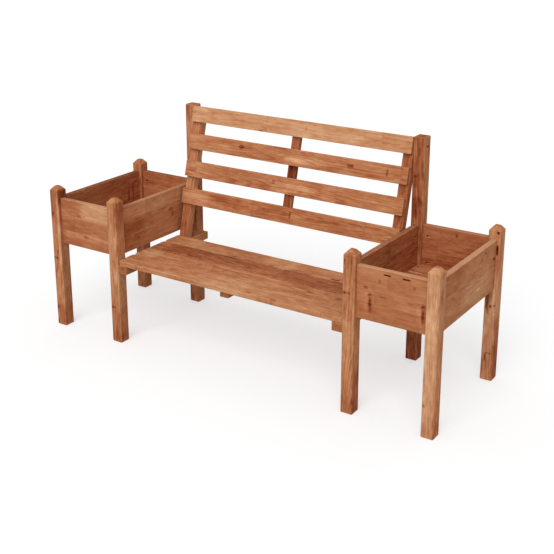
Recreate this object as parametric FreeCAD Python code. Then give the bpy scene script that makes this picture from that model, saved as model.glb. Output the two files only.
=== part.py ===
import FreeCAD, Part
import math
import os

from FreeCAD import Vector

# Bench with a planter box at each end, in millimetres.
# X runs along the bench, Y from front to back, Z up. The origin is on the ground,
# under the middle of the bench.

# Overall size, over the legs
overall_length = 1840.0
overall_depth = 590.0
overall_height = 950.0

# Legs
leg_width = 49.0
short_leg_height = 644.0
short_leg_top_inset = 15.0
short_leg_top_rise = 18.0
tall_leg_top_bevel = 3.0
foot_bevel = 3.0
leg_edge_radius = 2.5

# Planter boxes
planter_length = 378.0
board_thickness = 23.0
board_recess = 13.0
board_height = 203.0
rim_height = 593.0
board_edge_radius = 2.0

# Planter floors
floor_board_count = 5
floor_board_thickness = 18.0
floor_board_gap = 4.0
bearer_width = 25.0
bearer_height = 17.0
floor_end_clearance = 1.0

# Seat
seat_height = 378.0
seat_slat_count = 4
seat_slat_thickness = 22.0
seat_slat_gap = 6.5
seat_front_setback = 3.0
seat_back_clearance = 11.0
seat_corner_radius = 9.0
slat_end_clearance = 1.0
rail_width = 44.0
rail_height = 35.0
rail_back_setback = 24.0
batten_width = 40.0
batten_height = 25.0
batten_setback = 10.0

# Back
back_lean = 14.3
bolt_below_top = 40.0
back_slat_count = 4
back_slat_width = 70.0
back_slat_thickness = 20.0
back_slat_pitch = 122.5
top_slat_below_bolt = 4.0
back_corner_radius = 3.0
stile_width = rail_width
stile_depth = 34.0
stile_top_above_bolt = 20.0
centre_stile_width = 40.0
centre_stile_depth = 20.0
centre_stile_inset = 12.0

# Wood screws
screw_head_radius = 4.0
screw_head_depth = 3.0
screw_shank_radius = 2.0
screw_tip_length = 4.0
screw_clearance = 0.15
screw_hole_reach = 1.0
screw_sink = 0.5
pocket_angle = 25.0
pocket_setback = 26.0
pocket_depth = 8.0
pocket_radius = 4.75
pocket_screw_length = 40.0
board_screw_edge = 45.0
floor_screw_length = 30.0
floor_screw_edge = 20.0
bearer_screw_length = 40.0
bearer_screw_count = 3
bearer_screw_edge = 45.0
seat_screw_bite = 15.0
seat_screw_spread = 50.0
back_screw_bite = 14.0
back_screw_spread = 36.0
rail_screw_length = 75.0
rail_screw_spread = 16.0
rail_screw_setback = 13.0
foot_screw_length = 70.0

# Bolts that hold the stiles to the tall legs
bolt_radius = 3.0
bolt_head_radius = 5.0
bolt_head_height = 6.0
bolt_head_sink = 5.0
bolt_socket_width = 5.0
bolt_socket_depth = 3.0
bolt_tip_past_nut = 3.0
counterbore_clearance = 1.0
barrel_radius = 5.0
barrel_length = 20.0

# Places worked out from the sizes above
half_length = overall_length / 2
half_depth = overall_depth / 2
seat_half_length = half_length - planter_length
board_inset = board_recess + board_thickness
board_low = rim_height - board_height
floor_top = board_low + bearer_height + floor_board_thickness
rail_top = seat_height - seat_slat_thickness
rail_low = rail_top - rail_height
tall_leg_y = half_depth - leg_width / 2
bolt_height = overall_height - bolt_below_top
lean = math.radians(back_lean)

ACROSS = Vector(1, 0, 0)
BACKWARD = Vector(0, 1, 0)
UP = Vector(0, 0, 1)

wood = {}
metal = {}
hole_tools = []


def block(x_ends, y_ends, z_ends, radius=board_edge_radius):
    """A board between pairs of coordinates, with all its edges rounded."""
    low = Vector(min(x_ends), min(y_ends), min(z_ends))
    sizes = [abs(ends[1] - ends[0]) for ends in (x_ends, y_ends, z_ends)]
    box = Part.makeBox(*sizes, low)
    return box.makeFillet(radius, box.Edges) if radius else box


def slat(x_ends, y_ends, z_ends, corner_radius, edge_direction):
    """A board whose four corners, seen along edge_direction, are rounded more."""
    box = block(x_ends, y_ends, z_ends, 0)
    corners = [e for e in box.Edges if e.tangentAt(e.FirstParameter).cross(edge_direction).Length < 0.01]
    box = box.makeFillet(corner_radius, corners)
    sharp = [e for e in box.Edges if e.tangentAt(e.FirstParameter).cross(edge_direction).Length > 0.01]
    return box.makeFillet(board_edge_radius, sharp)


def leg(x, y, height, top_inset, top_rise):
    """A square leg with eased long edges, an eased foot and a top bevelled on all four sides."""
    half = leg_width / 2
    foot = [(half - foot_bevel, 0), (half, foot_bevel)]
    top = [(half, height - top_rise), (half - top_inset, height)]
    outline = [Vector(across, -half, z) for across, z in foot + top]
    outline += [Vector(-point.x, point.y, point.z) for point in reversed(outline)]
    one_way = Part.Face(Part.makePolygon(outline + outline[:1])).extrude(BACKWARD * leg_width)
    other_way = one_way.copy()
    other_way.rotate(Vector(0, 0, 0), UP, 90)
    body = block((-half, half), (-half, half), (0, height), 0)
    long_edges = [e for e in body.Edges if e.BoundBox.ZLength > height / 2]
    body = body.makeFillet(leg_edge_radius, long_edges).common(one_way).common(other_way)
    body.translate(Vector(x, y, 0))
    return body


def pointing(shape, point, direction):
    """Moves a shape built along +Z from the origin to a point and a direction."""
    moved = shape.copy()
    moved.Placement = FreeCAD.Placement(point, FreeCAD.Rotation(UP, direction))
    return moved


def screw_body(length, clearance):
    """A countersunk screw along +Z, or with a clearance the hole that it makes."""
    shank = screw_shank_radius + clearance
    head = screw_head_radius + clearance
    reach = screw_hole_reach if clearance else 0
    body = Part.makeCone(head, shank, screw_head_depth)
    tip_start = length - screw_tip_length
    body = body.fuse(Part.makeCylinder(shank, tip_start + reach))
    tip = Part.makeCone(shank, shank / 4, screw_tip_length, Vector(0, 0, tip_start + reach))
    return body.fuse(tip).removeSplitter()


def add_screw(group, surface_point, direction, length, sink=screw_sink, mouth_radius=None):
    """Drives a screw from a point on a surface and keeps the hole for it.

    The head's top lies sink below the surface, and the mouth above it is open.
    """
    mouth = mouth_radius or screw_head_radius + screw_clearance
    direction = Vector(direction).normalize()
    head_top = surface_point + direction * sink
    metal.setdefault(group, []).append(pointing(screw_body(length, 0), head_top, direction))
    hole_tools.append(pointing(screw_body(length, screw_clearance), head_top, direction))
    mouth_length = sink + 2 * mouth
    opening = Part.makeCylinder(mouth, mouth_length, Vector(0, 0, -mouth_length))
    hole_tools.append(pointing(opening, head_top, direction))


def spread(count, first, last):
    """Evenly spaced values from first to last."""
    step = (last - first) / (count - 1)
    return [first + step * i for i in range(count)]


def back_point(x, out, up):
    """A point given by its distance in front of the stiles' middle and up the lean from the bolt."""
    y = tall_leg_y + up * math.sin(lean) - out * math.cos(lean)
    z = bolt_height + up * math.cos(lean) + out * math.sin(lean)
    return Vector(x, y, z)


def leaned(shape):
    """Leans a shape, built upright about the bolt's line, back by the back's angle."""
    shape = shape.copy()
    shape.rotate(Vector(0, 0, 0), ACROSS, -back_lean)
    shape.translate(Vector(0, tall_leg_y, bolt_height))
    return shape


def make_legs(side, name):
    """The four legs of one planter box."""
    outer = side * (half_length - leg_width / 2)
    inner = side * (seat_half_length + leg_width / 2)
    front = leg_width / 2 - half_depth
    short = (short_leg_height, short_leg_top_inset, short_leg_top_rise)
    tall = (overall_height, tall_leg_top_bevel, tall_leg_top_bevel)
    wood[name + "_outer_front_leg"] = leg(outer, front, *short)
    wood[name + "_outer_back_leg"] = leg(outer, tall_leg_y, *short)
    wood[name + "_inner_front_leg"] = leg(inner, front, *short)
    wood[name + "_tall_back_leg"] = leg(inner, tall_leg_y, *tall)


def make_planter_boards(side, name):
    """The four boards of one planter box, each between two legs."""
    z_ends = (board_low, rim_height)
    x_between = (side * (seat_half_length + leg_width), side * (half_length - leg_width))
    y_between = (leg_width - half_depth, half_depth - leg_width)
    front = (board_recess - half_depth, board_inset - half_depth)
    back = (half_depth - board_recess, half_depth - board_inset)
    outer = (side * (half_length - board_recess), side * (half_length - board_inset))
    inner = (side * (seat_half_length + board_recess), side * (seat_half_length + board_inset))
    wood[name + "_planter_front_board"] = block(x_between, front, z_ends)
    wood[name + "_planter_back_board"] = block(x_between, back, z_ends)
    wood[name + "_planter_outer_board"] = block(outer, y_between, z_ends)
    wood[name + "_planter_inner_board"] = block(inner, y_between, z_ends)

    group = name + "_board_screws"
    into = math.sin(math.radians(pocket_angle))
    along = math.cos(math.radians(pocket_angle))
    for z in (board_low + board_screw_edge, rim_height - board_screw_edge):
        for y_face, outward in ((front[1], -BACKWARD), (back[1], BACKWARD)):
            low, high = sorted(x_between)
            for x, end in ((low + pocket_setback, -ACROSS), (high - pocket_setback, ACROSS)):
                add_screw(group, Vector(x, y_face, z), end * along + outward * into,
                          pocket_screw_length, pocket_depth, pocket_radius)
        for x_face, outward in ((outer[1], ACROSS * side), (inner[1], -ACROSS * side)):
            low, high = y_between
            for y, end in ((low + pocket_setback, -BACKWARD), (high - pocket_setback, BACKWARD)):
                add_screw(group, Vector(x_face, y, z), end * along + outward * into,
                          pocket_screw_length, pocket_depth, pocket_radius)


def make_planter_floor(side, name):
    """Floor boards across one planter box, on a bearer along each side board."""
    x_walls = (seat_half_length + board_inset, half_length - board_inset)
    y_leg = half_depth - leg_width
    y_wall = half_depth - board_inset
    bearer_top = board_low + bearer_height
    for place, x_wall, outward in (("inner", x_walls[0], -1), ("outer", x_walls[1], 1)):
        x_open = x_wall - outward * bearer_width
        ends = (floor_end_clearance - y_leg, y_leg - floor_end_clearance)
        bearer = block((side * x_wall, side * x_open), ends, (board_low, bearer_top))
        wood[name + "_floor_bearer_" + place] = bearer
        for y in spread(bearer_screw_count, bearer_screw_edge - y_leg, y_leg - bearer_screw_edge):
            add_screw(name + "_bearer_screws",
                      Vector(side * x_open, y, board_low + bearer_height / 2),
                      ACROSS * side * outward, bearer_screw_length)

    x_ends = [side * (x_walls[0] + floor_end_clearance), side * (x_walls[1] - floor_end_clearance)]
    floor_length = 2 * (y_wall - floor_end_clearance)
    gaps = floor_board_gap * (floor_board_count - 1)
    width = (floor_length - gaps) / floor_board_count
    notch = leg_width + floor_end_clearance
    corners = [
        block((x, x + notch * toward), (y, y - notch * math.copysign(1, y)), (0, rim_height), 0)
        for x, toward in ((side * seat_half_length, side), (side * half_length, -side))
        for y in (-half_depth, half_depth)
    ]
    for i in range(floor_board_count):
        y_low = floor_end_clearance - y_wall + i * (width + floor_board_gap)
        board = block(x_ends, (y_low, y_low + width), (bearer_top, floor_top))
        if i in (0, floor_board_count - 1):
            board = board.cut(corners)
        wood["%s_floor_board_%d" % (name, i + 1)] = board
        y_screws = (max(y_low, -y_leg) + floor_screw_edge, min(y_low + width, y_leg) - floor_screw_edge)
        for x in (x_walls[0] + bearer_width / 2, x_walls[1] - bearer_width / 2):
            for y in y_screws:
                add_screw(name + "_floor_screws", Vector(side * x, y, floor_top), -UP,
                          floor_screw_length)


def make_seat():
    """Seat slats on two side rails and a centre batten."""
    y_front = seat_front_setback - half_depth
    stile_front = stile_depth / 2 / math.cos(lean)
    y_stile = tall_leg_y - (bolt_height - seat_height) * math.tan(lean) - stile_front
    seat_depth = y_stile - seat_back_clearance - y_front
    width = (seat_depth - seat_slat_gap * (seat_slat_count - 1)) / seat_slat_count
    x_end = seat_half_length - slat_end_clearance
    screw_lines = []
    for side, name in ((-1, "left"), (1, "right")):
        x_rail = (side * seat_half_length, side * (seat_half_length - rail_width))
        y_rail = (-half_depth, half_depth - rail_back_setback)
        wood[name + "_seat_rail"] = block(x_rail, y_rail, (rail_low, rail_top))
        screw_lines.append((sum(x_rail) / 2, rail_low, rail_height))
        for y in (y_rail[0] + rail_screw_setback, y_rail[1] - rail_screw_setback):
            for rise in (-rail_screw_spread / 2, rail_screw_spread / 2):
                add_screw("rail_screws", Vector(x_rail[1], y, rail_low + rail_height / 2 + rise),
                          ACROSS * side, rail_screw_length)
    batten_low = rail_top - batten_height
    x_batten = (-batten_width / 2, batten_width / 2)
    y_batten = (y_front + batten_setback, y_front + seat_depth - batten_setback)
    wood["seat_centre_batten"] = block(x_batten, y_batten, (batten_low, rail_top))
    screw_lines.append((0, batten_low, batten_height))

    for i in range(seat_slat_count):
        y_low = y_front + i * (width + seat_slat_gap)
        wood["seat_slat_%d" % (i + 1)] = slat(
            (-x_end, x_end), (y_low, y_low + width), (rail_top, seat_height), seat_corner_radius, UP)
        for x, z, height in screw_lines:
            for offset in (-seat_screw_spread / 2, seat_screw_spread / 2):
                add_screw("seat_screws", Vector(x, y_low + width / 2 + offset, z), UP,
                          height + seat_screw_bite)


def make_back():
    """Leaning stiles with four slats across their front faces."""
    front = stile_depth / 2
    above_ground = block((-half_length, half_length), (-half_depth, half_depth),
                         (rail_top, overall_height), 0)
    longest = (bolt_height - rail_top) / math.cos(lean) + stile_depth
    stile_lines = []
    for side, name in ((-1, "left"), (1, "right")):
        x_ends = (side * seat_half_length, side * (seat_half_length - stile_width))
        upright = block(x_ends, (-front, front), (-longest, stile_top_above_bolt))
        wood[name + "_stile"] = leaned(upright).common(above_ground)
        x_middle = sum(x_ends) / 2
        stile_lines.append((x_middle, -front, stile_depth))
        y_foot = tall_leg_y - (bolt_height - rail_top) * math.tan(lean)
        add_screw("stile_foot_screws", Vector(x_middle, y_foot, rail_low), UP, foot_screw_length)

    lowest_slat = -top_slat_below_bolt - back_slat_pitch * (back_slat_count - 1)
    reach = back_slat_width / 2 - centre_stile_inset
    centre = block((-centre_stile_width / 2, centre_stile_width / 2),
                   (-front, centre_stile_depth - front),
                   (lowest_slat - reach, reach - top_slat_below_bolt))
    wood["centre_stile"] = leaned(centre)
    stile_lines.append((0, front - centre_stile_depth, centre_stile_depth))

    x_end = seat_half_length - slat_end_clearance
    into_slat = Vector(0, -math.cos(lean), math.sin(lean))
    for i in range(back_slat_count):
        middle = -top_slat_below_bolt - back_slat_pitch * i
        z_ends = (middle - back_slat_width / 2, middle + back_slat_width / 2)
        upright = slat((-x_end, x_end), (-front - back_slat_thickness, -front), z_ends,
                       back_corner_radius, BACKWARD)
        wood["back_slat_%d" % (i + 1)] = leaned(upright)
        for x, rear, depth in stile_lines:
            for offset in (-back_screw_spread / 2, back_screw_spread / 2):
                add_screw("back_screws", back_point(x, rear, middle + offset), into_slat,
                          depth + back_screw_bite)


def make_bolts():
    """A socket-head bolt through each tall leg into a barrel nut in its stile."""
    shank_start = bolt_head_sink + bolt_head_height
    shank_end = leg_width + stile_width / 2 + barrel_radius + bolt_tip_past_nut
    for side in (-1, 1):
        face = Vector(side * (seat_half_length + leg_width), tall_leg_y, bolt_height)
        inward = ACROSS * -side
        head = Part.makeCylinder(bolt_head_radius, bolt_head_height, Vector(0, 0, bolt_head_sink))
        shank = Part.makeCylinder(bolt_radius, shank_end - shank_start, Vector(0, 0, shank_start))
        corner = bolt_socket_width / math.sqrt(3)
        turns = [math.radians(60 * k) for k in range(7)]
        hexagon = Part.makePolygon(
            [Vector(corner * math.cos(t), corner * math.sin(t), bolt_head_sink) for t in turns])
        socket = Part.Face(hexagon).extrude(Vector(0, 0, bolt_socket_depth))
        bolt = head.fuse(shank).cut(socket).removeSplitter()
        metal.setdefault("stile_bolts", []).append(pointing(bolt, face, inward))

        bore = Part.makeCylinder(bolt_head_radius + counterbore_clearance, shank_start)
        shaft = Part.makeCylinder(bolt_radius + screw_clearance, shank_end + screw_hole_reach)
        shaft = pointing(shaft, face, inward)
        hole_tools.append(pointing(bore, face, inward))
        hole_tools.append(shaft)

        x_nut = side * (seat_half_length - stile_width / 2)
        forward = Vector(0, -math.cos(lean), math.sin(lean))
        nut_start = back_point(x_nut, -barrel_length / 2, 0)
        nut = pointing(Part.makeCylinder(barrel_radius, barrel_length), nut_start, forward)
        metal.setdefault("barrel_nuts", []).append(nut.cut(shaft))
        well_length = stile_depth / 2 + barrel_length / 2 + screw_hole_reach
        well_start = back_point(x_nut, barrel_length / 2 - well_length, 0)
        well = Part.makeCylinder(barrel_radius + screw_clearance, well_length)
        hole_tools.append(pointing(well, well_start, forward))


def drilled(shape):
    """Cuts a wooden piece with every hole that reaches it."""
    tools = [t for t in hole_tools if t.BoundBox.intersect(shape.BoundBox)]
    return shape.cut(tools) if tools else shape


for side, name in ((-1, "left"), (1, "right")):
    make_legs(side, name)
    make_planter_boards(side, name)
    make_planter_floor(side, name)
make_seat()
make_back()
make_bolts()

os.makedirs("parts", exist_ok=True)
for node, shape in wood.items():
    drilled(shape).exportStep("parts/%s.step" % node)
for node, solids in metal.items():
    Part.makeCompound(solids).exportStep("parts/%s.step" % node)
print("%d wooden pieces, %d groups of fasteners" % (len(wood), len(metal)))
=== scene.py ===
import math
import random

import bpy
from mathutils import Matrix, Vector

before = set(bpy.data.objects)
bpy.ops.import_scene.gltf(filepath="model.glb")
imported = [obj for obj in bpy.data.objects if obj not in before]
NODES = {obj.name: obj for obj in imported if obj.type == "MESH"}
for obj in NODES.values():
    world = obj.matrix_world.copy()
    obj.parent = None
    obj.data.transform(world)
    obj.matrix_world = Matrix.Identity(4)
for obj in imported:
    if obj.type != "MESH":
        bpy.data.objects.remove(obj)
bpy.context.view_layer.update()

# The back leans back from upright by this angle
BACK_LEAN = math.radians(14.3)

# Sizes of the timber's features, in metres
RING_SPACING = 0.0030
STRIP_WIDTH = 0.0677
BLOCK_LENGTH = 0.30
FINGER_LENGTH = 0.010
FINGER_PITCH = 0.0045
# How far the pale edges reach: partly wear, partly a painted highlight on the edges
EDGE_WEAR_AND_HIGHLIGHT = 0.0035
GRAIN_RELIEF = 0.0004

# The stain is matt: how strongly it reflects, and how strongly the grain's relief shows
WOOD_SPECULAR = 0.05
GRAIN_BUMP = 0.5

# The relief of plated metal, in metres
PLATING_RELIEF = 0.0001

# Glue shows up to the first distance from a joint, fully at the second
GLUE_LINE = (0.0004, 0.0001)

# A surface this deep inside a board's box, and farther from its ends than bevels reach, lies in a hole, and
# gets painted shade there
HOLE_DEPTH = (0.0008, 0.0013)
BEVEL_REACH = (0.019, 0.022)

# Strips and blocks of this size are far larger than any board, so joints hardly ever fall in one
WHOLE = 10.0

# Camera, at the photograph's viewing angle: pixels are those of its frame, and the sensor is in mm
CAMERA_PLACE = Vector((2.205, -3.239, 1.864))
CAMERA_AZIMUTH = math.radians(33.46)
CAMERA_PITCH = math.radians(16.72)
CAMERA_SHIFT_Y = -0.15
FOCAL_PIXELS = 1007.6
FRAME_PIXELS = 554
SENSOR_WIDTH = 36.0

# Light: even from all round, with a broad key from above the front, a little to the right
WORLD_LIGHT = 0.58
KEY_LIGHT = 1.86
KEY_TOWARD = Vector((0.20, -0.73, 0.65))
KEY_SOFTNESS = math.radians(50)

# The floor's width in metres, its shade, and how bright its glow makes it where no shadow falls
FLOOR_SIZE = 80
FLOOR_SHADE = 0.50
FLOOR_SEEN = 1.03

# Ways that grain runs and faces look
ALONG_X = Vector((1, 0, 0))
ALONG_Y = Vector((0, 1, 0))
ALONG_Z = Vector((0, 0, 1))
UP_THE_BACK = Vector((0, math.sin(BACK_LEAN), math.cos(BACK_LEAN)))
OUT_OF_THE_BACK = Vector((0, -math.cos(BACK_LEAN), math.sin(BACK_LEAN)))


def srgb(red, green, blue):
    """A colour given as it shows on a screen, 0 to 255, as linear values."""
    def linear(value):
        value /= 255
        return value / 12.92 if value <= 0.04045 else ((value + 0.055) / 1.055) ** 2.4
    return (linear(red), linear(green), linear(blue), 1.0)


# The stain from its palest to its darkest, in a yellower and a redder board
GOLDEN = [(0.00, srgb(236, 188, 144)), (0.20, srgb(208, 158, 118)), (0.40, srgb(189, 130, 89)),
          (0.60, srgb(166, 101, 63)), (0.80, srgb(128, 68, 38)), (1.00, srgb(72, 28, 10))]
RUDDY = [(0.00, srgb(234, 174, 132)), (0.20, srgb(203, 144, 106)), (0.40, srgb(183, 115, 77)),
         (0.60, srgb(158, 86, 53)), (0.80, srgb(116, 53, 31)), (1.00, srgb(62, 22, 9))]

# Where two colours are given, a noise goes from the first to the second
KNOT_COLOURS = (srgb(70, 26, 8), srgb(130, 62, 32))
END_GRAIN_COLOURS = (srgb(158, 100, 64), srgb(104, 56, 34))
# Pale edges: partly wear, partly a painted highlight
WORN_AND_HIGHLIT_EDGE_COLOUR = srgb(222, 170, 124)
GLUE_COLOUR = srgb(92, 48, 30)
# Painted shade inside holes such as the bolt recesses
PAINTED_HOLE_SHADE = srgb(34, 15, 8)
WHITE = (1.0, 1.0, 1.0, 1.0)


class Shader:
    """Adds nodes to a tree and joins them, so that a formula reads in order."""

    def __init__(self, tree):
        self.tree = tree

    def feed(self, socket, value):
        if isinstance(value, bpy.types.NodeSocket):
            self.tree.links.new(value, socket)
        else:
            socket.default_value = value

    def node(self, kind, inputs=None, **settings):
        node = self.tree.nodes.new(kind)
        for name, value in settings.items():
            setattr(node, name, value)
        for name, value in (inputs or {}).items():
            self.feed(node.inputs[name], value)
        return node

    def calc(self, operation, *values, clamp=False):
        inputs = dict(enumerate(values))
        return self.node("ShaderNodeMath", inputs, operation=operation, use_clamp=clamp).outputs[0]

    def total(self, *values, clamp=False):
        sum_so_far = values[0]
        for value in values[1:-1]:
            sum_so_far = self.calc("ADD", sum_so_far, value)
        return self.calc("ADD", sum_so_far, values[-1], clamp=clamp)

    def times(self, *values):
        product = values[0]
        for value in values[1:]:
            product = self.calc("MULTIPLY", product, value)
        return product

    def minus(self, first, second):
        return self.calc("SUBTRACT", first, second)

    def vector(self, operation, *values, output="Vector"):
        inputs = dict(enumerate(values))
        return self.node("ShaderNodeVectorMath", inputs, operation=operation).outputs[output]

    def scaled(self, vector, along, across):
        """The vector counted in features along the grain and across it, so many to the metre."""
        return self.vector("MULTIPLY", vector, (along, across, across))

    def split(self, vector):
        return self.node("ShaderNodeSeparateXYZ", {"Vector": vector}).outputs

    def join(self, x, y, z):
        return self.node("ShaderNodeCombineXYZ", {"X": x, "Y": y, "Z": z}).outputs["Vector"]

    def noise(self, vector, detail=2.0, roughness=0.5, output="Fac"):
        inputs = {"Vector": vector, "Scale": 1.0, "Detail": detail, "Roughness": roughness}
        return self.node("ShaderNodeTexNoise", inputs).outputs[output]

    def swing(self, vector, detail=2.0, roughness=0.5):
        """Three noises about 0, as the parts of one vector."""
        noises = self.noise(vector, detail, roughness, output="Color")
        return self.split(self.vector("SUBTRACT", noises, (0.5, 0.5, 0.5)))

    def luck(self, x, y, z, output="Value"):
        """A value or colour that differs at random from one point to another."""
        inputs = {"Vector": self.join(x, y, z)}
        return self.node("ShaderNodeTexWhiteNoise", inputs, noise_dimensions="3D").outputs[output]

    def rise(self, value, low, high):
        """0 below low, 1 above high; low may be above high to turn it round."""
        inputs = {"Value": value, "From Min": low, "From Max": high}
        return self.node("ShaderNodeMapRange", inputs, interpolation_type="SMOOTHSTEP").outputs["Result"]

    def seen(self):
        """1 where the camera looks, straight or by reflection, and 0 where light only falls."""
        rays = self.node("ShaderNodeLightPath").outputs
        return self.calc("MAXIMUM", rays["Is Camera Ray"], rays["Is Glossy Ray"])

    def mix(self, factor, first, second):
        """Colours have the sockets 6 and 7 of a mix node, and their result the output 2."""
        node = self.node("ShaderNodeMix", data_type="RGBA", clamp_factor=True)
        for socket, value in ((0, factor), (6, first), (7, second)):
            self.feed(node.inputs[socket], value)
        return node.outputs[2]

    def ramp(self, value, stops):
        node = self.node("ShaderNodeValToRGB", {"Fac": value})
        ramp = node.color_ramp
        while len(ramp.elements) < len(stops):
            ramp.elements.new(1.0)
        for element, (position, colour) in zip(ramp.elements, stops):
            element.position = position
            element.color = colour
        return node.outputs["Color"]


def new_material(name):
    """A material, a Shader on its tree, and the inputs of its surface."""
    material = bpy.data.materials.new(name)
    material.use_nodes = True
    s = Shader(material.node_tree)
    return material, s, s.tree.nodes["Principled BSDF"].inputs


def put_on(obj, material):
    """Makes this the only material of an object."""
    obj.data.materials.clear()
    obj.data.materials.append(material)


def new_group(name, inputs, outputs):
    """A node group with the given sockets, as {name: type}, and a Shader on it."""
    tree = bpy.data.node_groups.new(name, "ShaderNodeTree")
    for way, sockets in (("INPUT", inputs), ("OUTPUT", outputs)):
        for socket, kind in sockets.items():
            tree.interface.new_socket(socket, in_out=way, socket_type="NodeSocket" + kind)
    shader = Shader(tree)
    given = shader.node("NodeGroupInput").outputs
    result = shader.node("NodeGroupOutput").inputs
    return tree, shader, given, result


def knot_group():
    """A knot through a board: the grain flows round it, and its heart is dark."""
    tree, s, given, result = new_group(
        "knot",
        {"Point": "Vector", "Heart": "Float", "Place": "Vector", "Radius": "Float", "Stretch": "Float"},
        {"Point": "Vector", "Heart": "Float"})
    x, y, z = s.split(given["Point"])
    from_knot = s.split(s.vector("SUBTRACT", given["Point"], given["Place"]))
    ragged = s.noise(s.scaled(given["Point"], 260.0, 260.0), 2.0)
    along = s.calc("DIVIDE", from_knot[0], given["Stretch"])
    distance = s.calc("SQRT", s.total(s.times(along, along), s.times(from_knot[1], from_knot[1])))
    in_radii = s.calc("DIVIDE", distance, given["Radius"])
    in_radii = s.total(in_radii, s.times(s.minus(ragged, 0.5), 0.7))

    # Near the knot the grain is spread out, and the less so the farther away
    near = s.calc("EXPONENT", s.times(in_radii, in_radii, -0.22))
    flowed = s.minus(y, s.times(from_knot[1], near, 0.75))
    s.feed(result["Point"], s.join(x, flowed, z))

    # The heart is dark, and the grain round it a little darker than elsewhere
    heart = s.rise(in_radii, 1.25, 0.45)
    rim = s.times(s.rise(in_radii, 2.6, 1.0), 0.30)
    s.feed(result["Heart"], s.calc("MAXIMUM", given["Heart"], s.calc("MAXIMUM", heart, rim)))
    return tree


def patch_group():
    """A patch of other tone and redness with a soft ragged edge: mostly stain taken otherwise or a dark
    fleck, in a few places painted shade.
    """
    tree, s, given, result = new_group(
        "patch",
        {"Point": "Vector", "Tone": "Float", "Redness": "Float", "Place": "Vector", "Reach": "Vector",
         "Darker": "Float", "Redder": "Float"},
        {"Tone": "Float", "Redness": "Float"})
    apart = s.vector("DIVIDE", s.vector("SUBTRACT", given["Point"], given["Place"]), given["Reach"])
    x, y, _ = s.split(apart)
    x_squared, y_squared = s.times(x, x), s.times(y, y)
    distance = s.total(s.times(x_squared, x_squared), s.times(y_squared, y_squared))
    distance = s.calc("POWER", distance, 0.25)
    ragged = s.swing(s.scaled(given["Point"], 45.0, 190.0), 3.0, 0.6)[0]
    inside = s.rise(s.total(distance, s.times(ragged, 0.9)), 1.35, 0.65)
    s.feed(result["Tone"], s.total(given["Tone"], s.times(inside, given["Darker"])))
    s.feed(result["Redness"], s.total(given["Redness"], s.times(inside, given["Redder"])))
    return tree


def glued_blocks(s, given):
    """Strips of blocks joined end to end by fingers: each block's luck, and the glue lines."""
    along, across, _ = s.split(given["Straight Point"])
    strip_at = s.total(s.calc("DIVIDE", across, given["Strip Width"]), 0.5)
    strip = s.calc("FLOOR", strip_at)
    zigzag = s.times(s.calc("PINGPONG", across, FINGER_PITCH / 2), 2 * FINGER_LENGTH / FINGER_PITCH)
    block_at = s.calc("DIVIDE", s.total(along, zigzag), given["Block Length"])

    # Each strip's blocks start at another place
    block_at = s.total(block_at, s.times(s.luck(strip, given["Seed"], 3.0), 7.0))
    luck = s.split(s.luck(strip, s.calc("FLOOR", block_at), given["Seed"], output="Color"))

    # A finger's slanting flank is nearer than it is along the grain
    strip_line = s.times(s.calc("PINGPONG", strip_at, 0.5), given["Strip Width"])
    block_line = s.times(s.calc("PINGPONG", block_at, 0.5), given["Block Length"], 0.3)
    glue = s.rise(s.calc("MINIMUM", strip_line, block_line), *GLUE_LINE)
    return luck, glue


def growth_rings(s, given, luck):
    """The point moved by luck, the dark late wood of each year round the pith, and a slow drift."""
    x, y, z = s.split(given["Point"])
    tilt, pith_y, pith_z = s.split(given["Pith"])
    shift = s.total(given["Seed"], s.times(luck[0], 3.0))
    moved = s.join(s.total(x, shift), s.total(y, shift), z)

    # The pith wanders along a board, and lies elsewhere in each block
    wander = s.swing(s.scaled(moved, 2.2, 9.0), 2.0)
    apart = s.times(s.minus(luck[1], 0.5), given["Patchwork"], 0.08)
    from_y = s.total(s.minus(y, pith_y), apart, s.times(wander[0], 0.035))
    deeper = s.times(luck[2], given["Patchwork"], 0.03)
    from_z = s.total(s.minus(z, pith_z), deeper, s.times(wander[1], 0.02), s.times(x, tilt))
    radius = s.calc("SQRT", s.total(s.times(from_y, from_y), s.times(from_z, from_z)))

    # Years differ in width; each darkens slowly and ends sharply
    ring = s.calc("DIVIDE", radius, RING_SPACING)
    uneven = s.noise(s.join(s.times(ring, 0.31), given["Seed"], luck[1]), 1.0)
    phase = s.calc("FRACT", s.total(ring, s.times(uneven, 2.6)))
    late = s.times(s.rise(phase, 0.35, 0.86), s.rise(phase, 1.0, 0.93))
    return moved, late, wander[2]


def end_grain_and_edges(s, given, moved):
    """Where the surface cuts across the grain, faces the way across points, nears an edge, or lies in a
    hole. The face across points to gets painted light, pale edges are partly wear and partly a painted
    highlight, and holes get painted shade.
    """
    normal = s.node("ShaderNodeTexCoord").outputs["Normal"]
    facing_end = s.calc("ABSOLUTE", s.vector("DOT_PRODUCT", normal, given["Grain"], output="Value"))
    end_grain = s.rise(facing_end, 0.55, 0.95)
    # The face that across points to, mostly a top face, which gets painted light
    rim = s.rise(s.vector("DOT_PRODUCT", normal, given["Across"], output="Value"), 0.5, 0.9)

    # How far inside each pair of faces of the board's box the point is; at an edge, two are near 0
    inward = s.vector("SUBTRACT", given["Half Size"], s.vector("ABSOLUTE", given["Straight Point"]))
    in_x, in_y, in_z = s.split(inward)
    nearest = s.calc("MINIMUM", in_x, in_y)
    farther = s.calc("MAXIMUM", in_x, in_y)
    to_edge = s.calc("MAXIMUM", nearest, s.calc("MINIMUM", farther, in_z))
    rubbed = s.noise(s.scaled(moved, 55.0, 55.0), 2.0)
    # Pale edges, partly worn and partly a painted highlight
    wear_and_edge_highlight = s.times(s.rise(to_edge, EDGE_WEAR_AND_HIGHLIGHT, 0.0), s.rise(rubbed, 0.35, 0.65))
    # Inside a hole, where painted shade goes
    hole = s.times(s.rise(s.calc("MINIMUM", in_y, in_z), *HOLE_DEPTH), s.rise(in_x, *BEVEL_REACH))
    return end_grain, rim, wear_and_edge_highlight, hole


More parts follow.
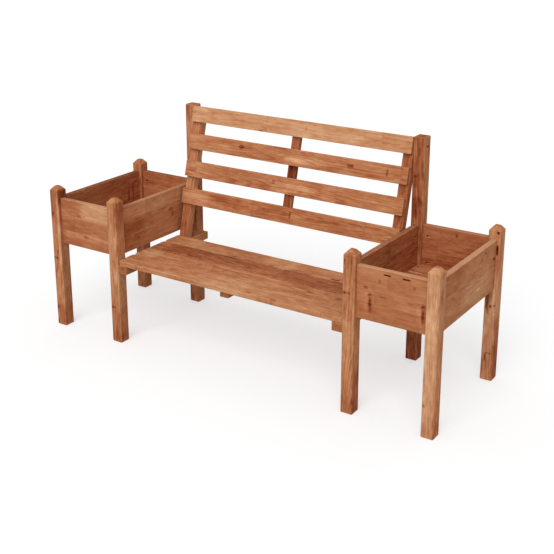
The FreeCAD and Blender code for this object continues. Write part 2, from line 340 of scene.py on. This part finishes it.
def surface_noises(s, moved):
    """Streaks, clouds, blotches, fibres and rare flecks of the stained surface."""
    streak = s.swing(s.scaled(moved, 3.5, 100.0), 4.0, 0.70)[0]
    cloud = s.swing(s.scaled(moved, 9.0, 38.0), 3.0, 0.6)
    blotch = s.swing(s.scaled(moved, 26.0, 75.0), 3.0, 0.65)
    fibre = s.swing(s.scaled(moved, 90.0, 1500.0), 2.0)[0]
    cells = s.node("ShaderNodeTexVoronoi", {"Vector": s.scaled(moved, 16.0, 70.0), "Scale": 1.0}).outputs
    chosen = s.rise(s.split(cells["Color"])[0], 0.90, 0.93)
    fleck = s.times(s.rise(cells["Distance"], 0.26, 0.06), chosen)
    return streak, cloud, blotch, fibre, fleck


def stained(s, given, luck, late, drift, rim, noises):
    """The stain's colour: its tone comes from rings, blocks and noises, its redness from clouds. On the
    face that across points to, mostly a top face, painted light shifts the tone and adds redness.
    """
    streak, cloud, blotch, fibre, fleck = noises
    ringed = s.times(s.minus(late, 0.35), given["Rings"], s.total(1.0, s.times(cloud[2], 2.0)))
    tone = s.total(
        given["Tone"], ringed, s.times(s.minus(luck[0], 0.5), given["Patchwork"]),
        s.times(streak, given["Streaks"]), s.times(cloud[0], given["Mottle"]),
        s.times(blotch[0], given["Mottle"]), s.times(drift, 0.20), s.times(fibre, 0.12),
        # Painted light on the face that across points to
        s.times(fleck, 0.22), s.times(rim, given["Painted Top Light"]))
    reddish = s.total(
        # The painted light on that face also makes it redder
        given["Redness"], s.times(cloud[1], 1.4), s.times(blotch[1], 1.2), s.times(rim, 0.5), clamp=True)
    return s.mix(reddish, s.ramp(tone, GOLDEN), s.ramp(tone, RUDDY))


def timber_group():
    """Stained softwood: growth rings, glued blocks, knots and end grain; pale edges, partly worn and partly
    a painted highlight; painted light on top faces; painted shade in holes.
    """
    tree, s, given, result = new_group(
        "stained_softwood",
        {"Point": "Vector", "Straight Point": "Vector", "Heart": "Float", "Half Size": "Vector",
         "Pith": "Vector", "Grain": "Vector", "Across": "Vector", "Seed": "Float", "Tone": "Float",
         "Redness": "Float", "Painted Top Light": "Float", "Patchwork": "Float", "Strip Width": "Float",
         "Block Length": "Float", "Rings": "Float", "Streaks": "Float", "Mottle": "Float",
         "Painted Hole Shade": "Float"},
        {"Color": "Color", "Roughness": "Float", "Height": "Float"})
    luck, glue = glued_blocks(s, given)
    moved, late, drift = growth_rings(s, given, luck)
    end_grain, rim, wear_and_edge_highlight, hole = end_grain_and_edges(s, given, moved)
    noises = surface_noises(s, moved)
    streak, cloud, _, fibre, _ = noises
    pores = s.noise(s.scaled(given["Straight Point"], 900.0, 900.0), 2.0)

    colour = stained(s, given, luck, late, drift, rim, noises)
    colour = s.mix(given["Heart"], colour, s.mix(s.total(s.times(fibre, 1.5), 0.5), *KNOT_COLOURS))
    colour = s.mix(s.times(end_grain, 0.45), colour, s.mix(s.rise(pores, 0.35, 0.7), *END_GRAIN_COLOURS))
    # Pale edges: partly wear, partly a painted highlight
    colour = s.mix(s.times(wear_and_edge_highlight, 0.30), colour, WORN_AND_HIGHLIT_EDGE_COLOUR)
    colour = s.mix(s.times(glue, 0.40), colour, GLUE_COLOUR)
    # Painted shade in holes
    colour = s.mix(s.times(hole, given["Painted Hole Shade"]), colour, PAINTED_HOLE_SHADE)
    s.feed(result["Color"], colour)
    s.feed(result["Roughness"], s.total(
        0.68, s.times(fibre, 0.12), s.times(cloud[2], 0.25), s.times(late, -0.05),
        s.times(end_grain, 0.18), s.times(wear_and_edge_highlight, 0.08)))
    s.feed(result["Height"], s.total(
        s.times(late, 0.35), s.times(fibre, 0.7), s.times(streak, 0.4), s.times(glue, -1.0),
        s.times(given["Heart"], -0.5), s.times(end_grain, pores, -1.2)))
    return tree


KNOT = knot_group()
PATCH = patch_group()
TIMBER = timber_group()


def measured(obj, grain, face):
    """The axes along a board, across it and through it, its middle, and half its sizes."""
    axes = Matrix((grain, face.cross(grain), face))
    points = [axes @ vertex.co for vertex in obj.data.vertices]
    low = Vector([min(p[i] for p in points) for i in range(3)])
    high = Vector([max(p[i] for p in points) for i in range(3)])
    return axes, axes.transposed() @ ((low + high) / 2), (high - low) / 2


def grouped(s, tree, inputs):
    """A node of the given group, fed, and its outputs."""
    group = s.node("ShaderNodeGroup", node_tree=tree)
    for name, value in inputs.items():
        s.feed(group.inputs[name], value)
    return group.outputs


def marked(s, straight, tone, redness, knots, patches):
    """The point bent round the knots, the knots' hearts, and the tone and redness with the patches."""
    point, heart = straight, 0.0
    for along, across, radius, stretch in knots:
        knot = grouped(s, KNOT, {"Point": point, "Heart": heart, "Place": (along, across, 0.0),
                                 "Radius": radius, "Stretch": stretch})
        point, heart = knot["Point"], knot["Heart"]
    for along, across, half_length, half_width, darker, redder in patches:
        patch = grouped(s, PATCH, {"Point": straight, "Tone": tone, "Redness": redness,
                                   "Place": (along, across, 0.0), "Reach": (half_length, half_width, 1.0),
                                   "Darker": darker, "Redder": redder})
        tone, redness = patch["Tone"], patch["Redness"]
    return point, heart, tone, redness


def timber(node, grain, face, tone=0.45, redness=0.4, rings=0.14, streaks=0.45, mottle=0.45, rim=0.0,
           patchwork=0.12, strip=WHOLE, block=WHOLE, painted_hole_shade=0.0, knots=(), patches=()):
    """Dresses one wooden node, whose grain and broad face look the given ways.

    Tone goes from the palest stain at 0 to the darkest at 1, and redness from GOLDEN to RUDDY.
    Rings, streaks and mottle are the strengths of these, and patchwork is how much the glued
    blocks differ. The argument rim is painted light, added to the tone of the face towards which
    across is counted, mostly a top face: paler below 0. Hole shade is the strength of painted shade in
    holes.
    A knot is (along, across, radius, stretch) and a patch (along, across, half length, half width,
    darker, redder), both from the board's middle, in metres.
    """
    luck = random.Random(node)
    axes, middle, half = measured(NODES[node], grain, face)
    material, s, surface = new_material("timber_" + node)
    place = s.node("ShaderNodeTexCoord").outputs["Object"]
    straight = s.node("ShaderNodeMapping", {"Vector": place, "Location": middle,
                                            "Rotation": axes.transposed().to_euler()},
                      vector_type="TEXTURE").outputs["Vector"]
    point, heart, tone, redness = marked(s, straight, tone, redness, knots, patches)
    pith = (luck.uniform(-0.02, 0.02), luck.uniform(-0.03, 0.03), -luck.uniform(0.03, 0.07))
    wood = grouped(s, TIMBER, {
        "Point": point, "Straight Point": straight, "Heart": heart, "Half Size": half, "Pith": pith,
        "Grain": grain, "Across": face.cross(grain), "Seed": luck.uniform(0, 50), "Tone": tone,
        "Redness": redness, "Painted Top Light": rim, "Patchwork": patchwork, "Strip Width": strip,
        "Block Length": block, "Rings": rings, "Streaks": streaks, "Mottle": mottle,
        "Painted Hole Shade": painted_hole_shade})
    bump = s.node("ShaderNodeBump", {"Height": wood["Height"], "Strength": GRAIN_BUMP,
                                     "Distance": GRAIN_RELIEF})
    s.feed(surface["Base Color"], wood["Color"])
    s.feed(surface["Roughness"], wood["Roughness"])
    s.feed(surface["Normal"], bump.outputs["Normal"])
    s.feed(surface["Specular IOR Level"], WOOD_SPECULAR)
    put_on(NODES[node], material)


def dress_legs():
    """Eight legs with upright grain; across a leg is towards the left as seen from the front."""
    looks = {
        "right_outer_front_leg": dict(
            tone=0.29, redness=0.12, rings=0.10,
            patches=[(-0.16, 0.0, 0.17, 0.05, 0.02, 0.20), (0.0, 0.0, 0.17, 0.05, -0.09, -0.1),
                     (-0.32, 0.0, 0.05, 0.05, 0.06, 0.1), (-0.197, 0.017, 0.006, 0.005, 0.32, 0.3),
                     (0.0, -0.034, 0.40, 0.014, 0.13, 0.4)]),
        "right_inner_front_leg": dict(
            tone=0.45, redness=0.35,
            patches=[(0.255, 0.0, 0.065, 0.05, 0.07, 0.3), (-0.29, 0.0, 0.04, 0.05, 0.09, 0.1),
                     (-0.05, 0.0, 0.10, 0.05, -0.05, -0.1), (0.160, 0.019, 0.006, 0.006, 0.25, 0.5),
                     (0.161, 0.006, 0.004, 0.012, 0.16, 0.4), (-0.22, -0.034, 0.13, 0.014, 0.16, 0.3)]),
        "right_outer_back_leg": dict(
            tone=0.33, redness=0.45,
            patches=[(-0.025, 0.009, 0.016, 0.005, 0.22, 0.5), (0.02, 0.013, 0.030, 0.006, 0.30, 0.4),
                     (-0.005, -0.001, 0.006, 0.005, 0.52, 0.5), (0.0, -0.017, 0.004, 0.004, 0.42, 0.4),
                     (-0.225, 0.009, 0.020, 0.003, 0.26, 0.4), (-0.204, -0.004, 0.003, 0.014, 0.26, 0.4),
                     (-0.25, 0.0, 0.08, 0.05, 0.02, 0.35), (0.226, -0.0145, 0.018, 0.0035, 0.90, 0.2),
                     (0.298, -0.0145, 0.005, 0.004, 0.90, 0.2), (0.02, -0.012, 0.05, 0.004, -0.12, -0.2),
                     (-0.08, 0.0, 0.09, 0.05, -0.06, 0.15), (0.24, 0.0, 0.09, 0.05, 0.07, 0.1),
                     (-0.20, -0.034, 0.15, 0.014, 0.32, 0.2)]),
        "right_tall_back_leg": dict(
            # Painted shade darkens its bolt recess
            tone=0.60, redness=0.55, streaks=0.7, painted_hole_shade=0.85,
            # The first patch is painted shade on the front of the foot
            patches=[(-0.43, 0.0, 0.06, 0.05, 0.12, 0.1), (0.187, 0.002, 0.04, 0.018, 0.16, 0.2),
                     (0.314, 0.0115, 0.006, 0.006, 0.16, 0.3), (0.285, 0.010, 0.018, 0.008, 0.08, 0.4),
                     (0.415, -0.001, 0.018, 0.004, 0.12, 0.4),
                     (0.25, -0.034, 0.30, 0.014, -0.08, -0.45)]),
        "left_outer_front_leg": dict(
            tone=0.45, redness=0.38, knots=[(-0.236, 0.017, 0.005, 1.5)],
            patches=[(-0.27, 0.0, 0.05, 0.05, 0.10, 0.3), (0.12, -0.016, 0.16, 0.006, -0.22, -0.3),
                     (0.20, 0.0, 0.04, 0.05, 0.07, 0.45), (0.29, 0.0, 0.04, 0.05, 0.06, 0.1),
                     (-0.005, 0.0025, 0.006, 0.005, 0.30, 0.4), (0.028, -0.0025, 0.008, 0.005, 0.24, 0.4),
                     # The first patch on this line is painted shadow at the top of the side face, below the
                     # leg's shaded top facet
                     (0.29, -0.034, 0.05, 0.014, 0.30, 0.3), (0.199, 0.012, 0.008, 0.007, 0.15, 0.3),
                     (-0.002, 0.014, 0.003, 0.009, 0.26, 0.3), (-0.305, 0.018, 0.010, 0.004, 0.26, 0.2)]),
        "left_inner_front_leg": dict(
            tone=0.46, redness=0.38,
            patches=[(-0.237, 0.0, 0.085, 0.05, 0.09, 0.3), (-0.162, 0.019, 0.006, 0.007, 0.26, 0.3),
                     (-0.162, 0.005, 0.005, 0.006, 0.24, 0.3), (-0.17, -0.034, 0.13, 0.014, -0.10, 0.2),
                     (0.06, 0.0, 0.12, 0.05, -0.11, -0.2), (-0.32, 0.0, 0.05, 0.05, 0.06, 0.1),
                     (0.20, -0.034, 0.15, 0.014, 0.14, 0.3)]),
        "left_outer_back_leg": dict(tone=0.46, redness=0.45),
        "left_tall_back_leg": dict(
            # Painted shade darkens its bolt recess
            tone=0.44, redness=0.40, painted_hole_shade=0.85, patches=[(0.03, 0.0, 0.10, 0.05, 0.12, 0.1)]),
    }
    for node, look in looks.items():
        timber(node, ALONG_Z, -ALONG_Y, **{"mottle": 0.50, "streaks": 0.38, **look})


def dress_planters():
    """Boards of glued strips round each planter, and its plain floor on two bearers."""
    knot_cluster = [(-0.0010, -0.037, 0.0080, 0.55), (0.0010, -0.028, 0.0080, 0.55),
                    (-0.0040, -0.006, 0.0040, 1.3), (0.0020, -0.002, 0.0045, 1.3)]
    looks = {
        "right_planter_front_board": dict(
            tone=0.48, redness=0.36, mottle=0.30, rim=-0.45,
            knots=[(place + along, across, radius, stretch) for place in (-0.085, 0.123)
                   for along, across, radius, stretch in knot_cluster],
            patches=[(-0.115, 0.0, 0.036, 0.11, -0.02, 0.35), (0.0, -0.093, 0.16, 0.015, 0.0, -0.35),
                     (-0.019, 0.086, 0.014, 0.0027, 0.80, 0.2), (0.056, 0.086, 0.014, 0.0027, 0.80, 0.2),
                     (-0.102, 0.023, 0.008, 0.005, 0.22, 0.4), (-0.047, 0.0595, 0.005, 0.008, 0.14, 0.1),
                     (0.088, 0.0595, 0.005, 0.006, 0.14, 0.1), (-0.032, -0.001, 0.012, 0.002, 0.16, 0.0),
                     (0.075, -0.001, 0.012, 0.002, 0.16, 0.0), (-0.097, -0.014, 0.008, 0.022, -0.06, 0.5),
                     (-0.099, -0.054, 0.010, 0.015, -0.10, 0.3), (0.108, -0.030, 0.010, 0.03, -0.10, 0.2),
                     (-0.083, -0.034, 0.008, 0.032, 0.12, 0.5), (0.125, -0.034, 0.008, 0.032, 0.14, 0.5),
                     (-0.085, -0.034, 0.004, 0.012, 0.22, 0.3), (0.123, -0.034, 0.004, 0.012, 0.22, 0.3),
                     (-0.083, -0.055, 0.003, 0.010, 0.08, 0.4),
                     (0.124, -0.055, 0.003, 0.010, 0.08, 0.4)]),
        "right_planter_outer_board": dict(
            tone=0.445, redness=0.30, patchwork=0.06, rim=-0.45,
            patches=[(-0.15, 0.07, 0.10, 0.05, 0.07, 0.30), (0.08, -0.04, 0.13, 0.045, -0.10, -0.3),
                     (0.222, 0.032, 0.011, 0.006, 0.34, 0.4), (0.238, 0.0, 0.012, 0.11, 0.06, 0.3),
                     (0.135, 0.083, 0.009, 0.006, 0.20, 0.1), (0.104, 0.0645, 0.007, 0.005, 0.16, 0.1),
                     (0.082, -0.047, 0.018, 0.003, -0.22, -0.4)]),
        "right_planter_back_board": dict(
            tone=0.48, redness=0.65, knots=[(0.006, 0.08, 0.007, 0.6)],
            patches=[(0.0, -0.03, 0.30, 0.075, 0.08, 0.1), (0.11, 0.05, 0.06, 0.05, 0.05, 0.1)]),
        "right_planter_inner_board": dict(
            tone=0.63, redness=0.45, patches=[(-0.14, 0.065, 0.12, 0.04, -0.07, -0.2)]),
        "left_planter_front_board": dict(
            tone=0.49, redness=0.40, rim=-0.35,
            patches=[(0.065, 0.065, 0.085, 0.040, -0.20, -0.25), (-0.08, 0.065, 0.06, 0.04, -0.02, 0.3),
                     (0.0, -0.005, 0.20, 0.029, 0.06, 0.2), (0.0, -0.049, 0.20, 0.012, -0.10, 0.3),
                     (0.0, -0.083, 0.20, 0.018, 0.05, 0.30), (-0.035, 0.038, 0.012, 0.005, 0.20, 0.2),
                     (0.0, -0.051, 0.014, 0.007, 0.18, 0.2), (0.0, -0.050, 0.006, 0.003, 0.18, 0.2),
                     (-0.11, 0.032, 0.05, 0.020, -0.07, 0.0)]),
        "left_planter_outer_board": dict(
            tone=0.52, redness=0.60, rim=0.04,
            patches=[(0.17, 0.0, 0.005, 0.03, 0.2, 0.2), (0.20, 0.01, 0.004, 0.04, 0.2, 0.2),
                     (0.13, 0.0, 0.12, 0.12, 0.06, 0.0), (-0.12, 0.07, 0.12, 0.04, -0.03, -0.1)]),
        "left_planter_back_board": dict(
            tone=0.55, redness=0.42, rim=0.04, patches=[(0.03, 0.075, 0.15, 0.04, 0.03, 0.1)]),
        "left_planter_inner_board": dict(
            tone=0.44, redness=0.45,
            patches=[(0.0, 0.070, 0.30, 0.030, -0.14, -0.25), (0.0, 0.0, 0.30, 0.02, 0.06, 0.2),
                     (-0.14, 0.03, 0.02, 0.003, 0.15, 0.2), (0.02, 0.03, 0.03, 0.003, 0.12, 0.2),
                     (0.075, 0.015, 0.012, 0.006, 0.20, 0.3), (0.09, -0.01, 0.006, 0.012, 0.20, 0.3),
                     (0.0, 0.03, 0.05, 0.05, -0.06, 0.0), (-0.20, 0.0, 0.08, 0.12, 0.10, 0.1)]),
    }
    for node, look in looks.items():
        lengthwise = ALONG_X if "front" in node or "back" in node else ALONG_Y
        outward = -ALONG_Y if lengthwise is ALONG_X else ALONG_X
        # rim paints light on each board's top edge: paler below 0, a little darker above 0
        usual = dict(strip=STRIP_WIDTH, block=BLOCK_LENGTH, patchwork=0.10, rings=0.09, rim=-0.26,
                     streaks=0.30, mottle=0.36)
        timber(node, lengthwise, outward, **{**usual, **look})
    for side in ("left", "right"):
        for number in range(1, 6):
            timber("%s_floor_board_%d" % (side, number), ALONG_X, ALONG_Z, tone=0.50, redness=0.5)
        for place in ("inner", "outer"):
            timber("%s_floor_bearer_%s" % (side, place), ALONG_Y, ALONG_X, tone=0.5, redness=0.5)


def dress_seat():
    """Four slats on two rails and a centre batten."""
    looks = {
        1: dict(tone=0.40, redness=0.28,
                patches=[(0.0, 0.0, 0.09, 0.06, -0.10, -0.3), (-0.43, -0.042, 0.014, 0.004, 0.25, 0.2),
                         (-0.31, -0.040, 0.008, 0.004, 0.20, 0.3),
                         (0.115, -0.035, 0.012, 0.006, 0.20, 0.6),
                         (0.175, -0.044, 0.012, 0.003, 0.25, 0.2),
                         (0.235, -0.043, 0.012, 0.004, 0.30, 0.3)]),
        2: dict(tone=0.43, redness=0.36,
                patches=[(-0.50, 0.0, 0.06, 0.06, -0.14, -0.2), (0.10, 0.0, 0.10, 0.06, -0.06, -0.1),
                         (-0.226, 0.0, 0.013, 0.010, 0.18, 0.2), (-0.166, 0.020, 0.010, 0.008, 0.12, 0.1),
                         (-0.101, 0.0, 0.012, 0.010, 0.14, 0.2), (0.314, 0.0, 0.013, 0.010, 0.18, 0.2),
                         (0.374, 0.020, 0.010, 0.008, 0.12, 0.1), (0.439, 0.0, 0.012, 0.010, 0.16, 0.2)]),
        3: dict(tone=0.59, redness=0.42,
                patches=[(-0.40, 0.0, 0.12, 0.06, 0.07, 0.0),
                         (-0.17, 0.042, 0.035, 0.006, 0.25, 0.2), (0.039, 0.044, 0.012, 0.003, 0.25, 0.2),
                         (0.35, 0.043, 0.020, 0.004, 0.25, 0.2), (-0.51, 0.0, 0.03, 0.05, -0.12, -0.2)]),
        4: dict(tone=0.44, redness=0.30,
                patches=[(0.05, 0.0, 0.08, 0.06, -0.12, -0.1),
                         (-0.17, -0.042, 0.040, 0.004, 0.20, 0.2),
                         (0.03, -0.044, 0.012, 0.003, 0.30, 0.3), (0.33, -0.040, 0.020, 0.006, 0.32, 0.3)]),
    }
    for number, look in looks.items():
        timber("seat_slat_%d" % number, ALONG_X, ALONG_Z, block=0.45, patchwork=0.08, streaks=0.34,
               mottle=0.50, **look)
    for side in ("left", "right"):
        timber(side + "_seat_rail", ALONG_Y, ALONG_Z, tone=0.50, redness=0.45)
    timber("seat_centre_batten", ALONG_Y, ALONG_Z, tone=0.52, redness=0.5)


def dress_back():
    """Four slats across the leaning stiles."""
    looks = {
        1: dict(tone=0.31, redness=0.06, rings=0.10,
                patches=[(-0.50, 0.0, 0.06, 0.05, -0.09, 0.0), (-0.28, 0.0, 0.06, 0.02, 0.05, 0.1),
                         (-0.12, -0.015, 0.05, 0.012, 0.05, -0.1), (0.08, 0.005, 0.05, 0.02, -0.04, 0.1),
                         (0.03, 0.0, 0.05, 0.03, -0.07, -0.1), (0.38, -0.01, 0.06, 0.02, 0.05, 0.15),
                         (0.50, 0.0, 0.03, 0.05, -0.02, 0.1), (-0.17, -0.03, 0.012, 0.003, 0.25, 0.2),
                         (0.055, 0.004, 0.004, 0.010, 0.15, 0.3)]),
        2: dict(tone=0.47, redness=0.38,
                patches=[(-0.25, 0.0, 0.20, 0.05, 0.06, 0.1), (-0.37, -0.01, 0.06, 0.02, -0.07, -0.2),
                         (0.07, -0.008, 0.09, 0.012, -0.14, -0.1), (0.23, 0.01, 0.08, 0.02, 0.03, 0.1),
                         (0.50, 0.0, 0.04, 0.05, 0.0, 0.2), (-0.255, 0.008, 0.012, 0.008, 0.25, 0.3),
                         (0.284, 0.005, 0.014, 0.006, 0.30, 0.3),
                         (0.452, 0.0, 0.004, 0.016, 0.26, 0.2), (-0.06, 0.030, 0.03, 0.003, 0.22, 0.2),
                         (0.055, 0.025, 0.012, 0.003, 0.22, 0.1)]),
        3: dict(tone=0.47, redness=0.37,
                patches=[(-0.20, 0.0, 0.12, 0.05, 0.07, 0.0), (-0.47, 0.0, 0.05, 0.05, -0.06, -0.1),
                         (0.06, 0.0, 0.09, 0.010, -0.15, -0.15),
                         (0.02, -0.02, 0.06, 0.006, -0.10, -0.1), (0.14, 0.0, 0.03, 0.03, 0.06, 0.3),
                         (-0.07, 0.008, 0.008, 0.010, 0.15, 0.6), (-0.50, 0.0, 0.02, 0.012, 0.14, 0.1),
                         (0.44, 0.0, 0.10, 0.05, -0.08, -0.1)]),
        4: dict(tone=0.51, redness=0.41,
                patches=[(-0.46, -0.01, 0.07, 0.03, -0.10, -0.2), (0.48, 0.0, 0.08, 0.05, -0.06, -0.1),
                         (-0.30, 0.01, 0.09, 0.02, 0.08, 0.35),
                         (0.033, 0.003, 0.005, 0.014, 0.24, 0.2), (0.30, 0.0, 0.20, 0.05, -0.03, -0.2),
                         (0.08, -0.005, 0.06, 0.02, -0.06, -0.1)]),
    }
    for number, look in looks.items():
        # rim paints a highlight on each slat's top edge
        timber("back_slat_%d" % number, ALONG_X, OUT_OF_THE_BACK, block=0.55, patchwork=0.08, rim=-0.10,
               streaks=0.32, mottle=0.40, **look)
    timber("left_stile", UP_THE_BACK, OUT_OF_THE_BACK, tone=0.46, redness=0.40,
           patches=[(-0.20, 0.0, 0.10, 0.04, 0.15, 0.1), (-0.20, -0.034, 0.20, 0.014, -0.16, -0.1)])
    timber("right_stile", UP_THE_BACK, OUT_OF_THE_BACK, tone=0.52, redness=0.60)
    # The patch is painted shade where the stile shows between the middle slats
    timber("centre_stile", UP_THE_BACK, OUT_OF_THE_BACK, tone=0.60, redness=0.50,
           patches=[(0.0, 0.0, 0.035, 0.03, 0.18, 0.4)])


def plated_steel(name, colour, worn_colour, roughness):
    """Plated metal with cloudy wear and a fine grain."""
    material, s, surface = new_material(name)
    place = s.node("ShaderNodeTexCoord").outputs["Object"]
    cloudy = s.noise(s.scaled(place, 420.0, 420.0), 3.0)
    fine = s.noise(s.scaled(place, 3200.0, 3200.0), 2.0)
    bump = s.node("ShaderNodeBump", {"Height": fine, "Strength": 0.3, "Distance": PLATING_RELIEF})
    s.feed(surface["Base Color"], s.mix(s.rise(cloudy, 0.35, 0.7), colour, worn_colour))
    s.feed(surface["Roughness"], s.total(roughness, s.times(fine, 0.25)))
    s.feed(surface["Normal"], bump.outputs["Normal"])
    s.feed(surface["Metallic"], 1.0)
    return material


def dress_fasteners():
    """Dulled yellow zinc on screws, black oxide on the bolts, bright zinc on the barrel nuts."""
    zinc = plated_steel("dull_yellow_zinc", srgb(146, 110, 66), srgb(108, 80, 52), 0.42)
    black = plated_steel("black_oxide", srgb(20, 17, 15), srgb(36, 31, 28), 0.55)
    bright = plated_steel("bright_zinc", srgb(190, 194, 198), srgb(150, 154, 158), 0.25)
    for name, obj in NODES.items():
        if name.endswith("screws"):
            finish = zinc
        elif name == "stile_bolts":
            finish = black
        elif name == "barrel_nuts":
            finish = bright
        else:
            continue
        put_on(obj, finish)


def make_floor():
    """A wide pale floor that shows white, but for the bench's shadow."""
    bpy.ops.mesh.primitive_plane_add(size=FLOOR_SIZE)
    floor = bpy.context.object
    floor.name = "floor"
    material, s, surface = new_material("white_floor")
    lit = FLOOR_SHADE * (WORLD_LIGHT + KEY_LIGHT * KEY_TOWARD.normalized().z / math.pi)
    s.feed(surface["Base Color"], (FLOOR_SHADE, FLOOR_SHADE, FLOOR_SHADE, 1.0))
    s.feed(surface["Roughness"], 0.9)
    s.feed(surface["Specular IOR Level"], 0.0)
    s.feed(surface["Emission Color"], WHITE)
    s.feed(surface["Emission Strength"], s.times(s.seen(), FLOOR_SEEN - lit))
    put_on(floor, material)


def make_light():
    """A pale studio: even light from all round, and a soft key from above the front."""
    world = bpy.data.worlds.new("studio")
    world.use_nodes = True
    bpy.context.scene.world = world
    s = Shader(world.node_tree)
    background = s.tree.nodes["Background"].inputs
    s.feed(background["Color"], WHITE)
    s.feed(background["Strength"], s.total(WORLD_LIGHT, s.times(s.seen(), 1.0 - WORLD_LIGHT)))
    lamp = bpy.data.lights.new("key", "SUN")
    lamp.energy = KEY_LIGHT
    lamp.angle = KEY_SOFTNESS
    key = bpy.data.objects.new("key", lamp)
    bpy.context.scene.collection.objects.link(key)
    key.rotation_euler = (-KEY_TOWARD).to_track_quat("-Z", "Y").to_euler()


def make_camera():
    """The camera that sees the bench as the photograph does."""
    lens = bpy.data.cameras.new("camera")
    lens.sensor_width = SENSOR_WIDTH
    lens.lens = FOCAL_PIXELS / FRAME_PIXELS * SENSOR_WIDTH
    lens.shift_y = CAMERA_SHIFT_Y
    camera = bpy.data.objects.new("camera", lens)
    bpy.context.scene.collection.objects.link(camera)
    level = math.cos(CAMERA_PITCH)
    back = Vector((
        math.sin(CAMERA_AZIMUTH) * level, -math.cos(CAMERA_AZIMUTH) * level, math.sin(CAMERA_PITCH)))
    camera.location = CAMERA_PLACE
    camera.rotation_euler = (-back).to_track_quat("-Z", "Y").to_euler()
    bpy.context.scene.camera = camera


dress_legs()
dress_planters()
dress_seat()
dress_back()
dress_fasteners()
make_floor()
make_light()
make_camera()
bpy.context.scene.view_settings.view_transform = "Standard"
